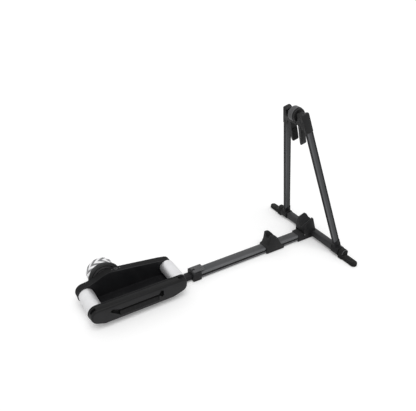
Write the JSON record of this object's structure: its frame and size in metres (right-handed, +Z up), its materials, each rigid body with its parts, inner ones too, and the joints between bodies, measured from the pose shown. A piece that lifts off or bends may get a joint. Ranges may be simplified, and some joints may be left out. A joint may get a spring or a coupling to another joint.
{
  "type": "wheel-on smart trainer",
  "caption": "Roller unit with a belt-driven flywheel, a telescoping beam with a sliding wheel chock and cradle, and a folding A-frame whose screw jaws hold the front wheel",
  "frame": {"origin": "floor level below the middle of the whole trainer", "axes": "+X towards the front stand, +Y towards the flywheel side, +Z up"},
  "size_m": [1.5005, 0.795, 0.8739],
  "materials": {
    "black_plastic": "fine grained black moulding",
    "black_steel": "satin black powder coat",
    "roller_metal": "satin turned",
    "bright_steel": "ground",
    "pulley_aluminium": "machined",
    "flywheel_iron": "painted dark grey with a pale pattern on the rim",
    "anodised_grey": "dark grey anodised",
    "grey_plastic": "satin grey moulding",
    "black_rubber": "matt black",
    "stator_windings": "lacquered copper",
    "board_green": "circuit board"
  },
  "bodies": {
    "roller_unit": {"right_frame": "black_steel", "left_frame": "black_steel", "right_cover": "black_plastic", "left_cover": "black_plastic", "base_pan": "black_steel", "rear_cross_member": "black_steel", "front_cross_member": "black_steel", "rear_foot_strip": "black_rubber", "front_foot_strip": "black_rubber", "slide_tube": "black_steel", "rear_bearing_left": "bright_steel", "rear_bearing_right": "bright_steel", "front_bearing_left": "bright_steel", "front_bearing_right": "bright_steel", "flywheel_bearing_inner": "bright_steel", "flywheel_bearing_outer": "bright_steel", "brake_housing": "black_plastic", "brake_stator": "stator_windings", "roller_belt": "black_rubber", "flywheel_belt": "black_rubber", "tensioner_stud": "bright_steel", "control_board": "board_green", "power_inlet": "black_plastic"},
    "rear_roller": {"rear_drum": "roller_metal", "rear_axle": "bright_steel", "rear_pulley": "pulley_aluminium"},
    "front_roller": {"front_drum": "roller_metal", "front_axle": "bright_steel", "front_pulley": "pulley_aluminium"},
    "flywheel_rotor": {"flywheel": "flywheel_iron", "flywheel_shaft": "bright_steel", "flywheel_pulley": "pulley_aluminium"},
    "belt_tensioner": {"tensioner_wheel": "pulley_aluminium"},
    "front_base": {"beam": "anodised_grey", "clamp_collar": "black_plastic", "clamp_pin": "bright_steel", "front_block": "black_plastic", "wheel_cradle": "black_plastic", "cross_tube": "anodised_grey", "left_pivot_pin": "bright_steel", "right_pivot_pin": "bright_steel", "left_stabiliser": "black_rubber", "right_stabiliser": "black_rubber"},
    "lever": {"clamp_lever": "grey_plastic"},
    "chock": {"wheel_chock": "black_plastic"},
    "stand": {"left_knuckle": "black_steel", "right_knuckle": "black_steel", "left_leg": "anodised_grey", "right_leg": "anodised_grey", "head_yoke": "black_plastic", "head_cover": "black_plastic", "guide_rod": "bright_steel"},
    "clamp_drum": {"lead_screw": "bright_steel", "adjusting_drum": "black_plastic", "flange_ring": "grey_plastic"},
    "jaw_left": {"left_jaw": "black_plastic", "left_jaw_pad": "black_rubber"},
    "jaw_right": {"right_jaw": "black_plastic", "right_jaw_pad": "black_rubber"}
  },
  "joints": [
    {"name": "flywheel_spin", "type": "hinge", "parent": "roller_unit", "child": "flywheel_rotor", "pos_m": [-0.5826, 0, 0.118], "axis": [0, 1, 0], "continuous": true},
    {"name": "rear_roller_spin", "type": "hinge", "parent": "roller_unit", "child": "rear_roller", "pos_m": [-0.7053, 0, 0.087], "axis": [0, 1, 0], "continuous": true},
    {"name": "front_roller_spin", "type": "hinge", "parent": "roller_unit", "child": "front_roller", "pos_m": [-0.2463, 0, 0.087], "axis": [0, 1, 0], "continuous": true},
    {"name": "tensioner_spin", "type": "hinge", "parent": "roller_unit", "child": "belt_tensioner", "pos_m": [-0.4553, 0, 0.0705], "axis": [0, 1, 0], "continuous": true},
    {"name": "wheelbase_slide", "type": "slide", "parent": "roller_unit", "child": "front_base", "axis": [1, 0, 0], "range_m": [-0.03, 0.12]},
    {"name": "lever_hinge", "type": "hinge", "parent": "front_base", "child": "lever", "pos_m": [-0.1228, 0, 0.0538], "axis": [0, 1, 0], "range_deg": [-95, 0]},
    {"name": "chock_slide", "type": "slide", "parent": "front_base", "child": "chock", "axis": [1, 0, 0], "range_m": [-0.12, 0.09]},
    {"name": "stand_fold", "type": "hinge", "parent": "front_base", "child": "stand", "pos_m": [0.7203, 0, 0.033], "axis": [0, -1, 0], "range_deg": [0, 66]},
    {"name": "screw_turn", "type": "hinge", "parent": "stand", "child": "clamp_drum", "pos_m": [0.5309, 0, 0.83289], "axis": [0, 1, 0], "range_deg": [-1000, 400]},
    {"name": "left_jaw_slide", "type": "slide", "parent": "stand", "child": "jaw_left", "axis": [0, 1, 0], "range_m": [-0.014, 0.0057]},
    {"name": "right_jaw_slide", "type": "slide", "parent": "stand", "child": "jaw_right", "axis": [0, -1, 0], "range_m": [-0.014, 0.0057]}
  ],
  "couplings": [
    {"joint": "rear_roller_spin", "follows": "flywheel_spin", "ratio": 0.38235},
    {"joint": "front_roller_spin", "follows": "flywheel_spin", "ratio": 0.38235},
    {"joint": "tensioner_spin", "follows": "flywheel_spin", "ratio": 0.50525},
    {"joint": "left_jaw_slide", "follows": "screw_turn", "m_per_rad": 0.0007958},
    {"joint": "right_jaw_slide", "follows": "screw_turn", "m_per_rad": 0.0007958}
  ]
}
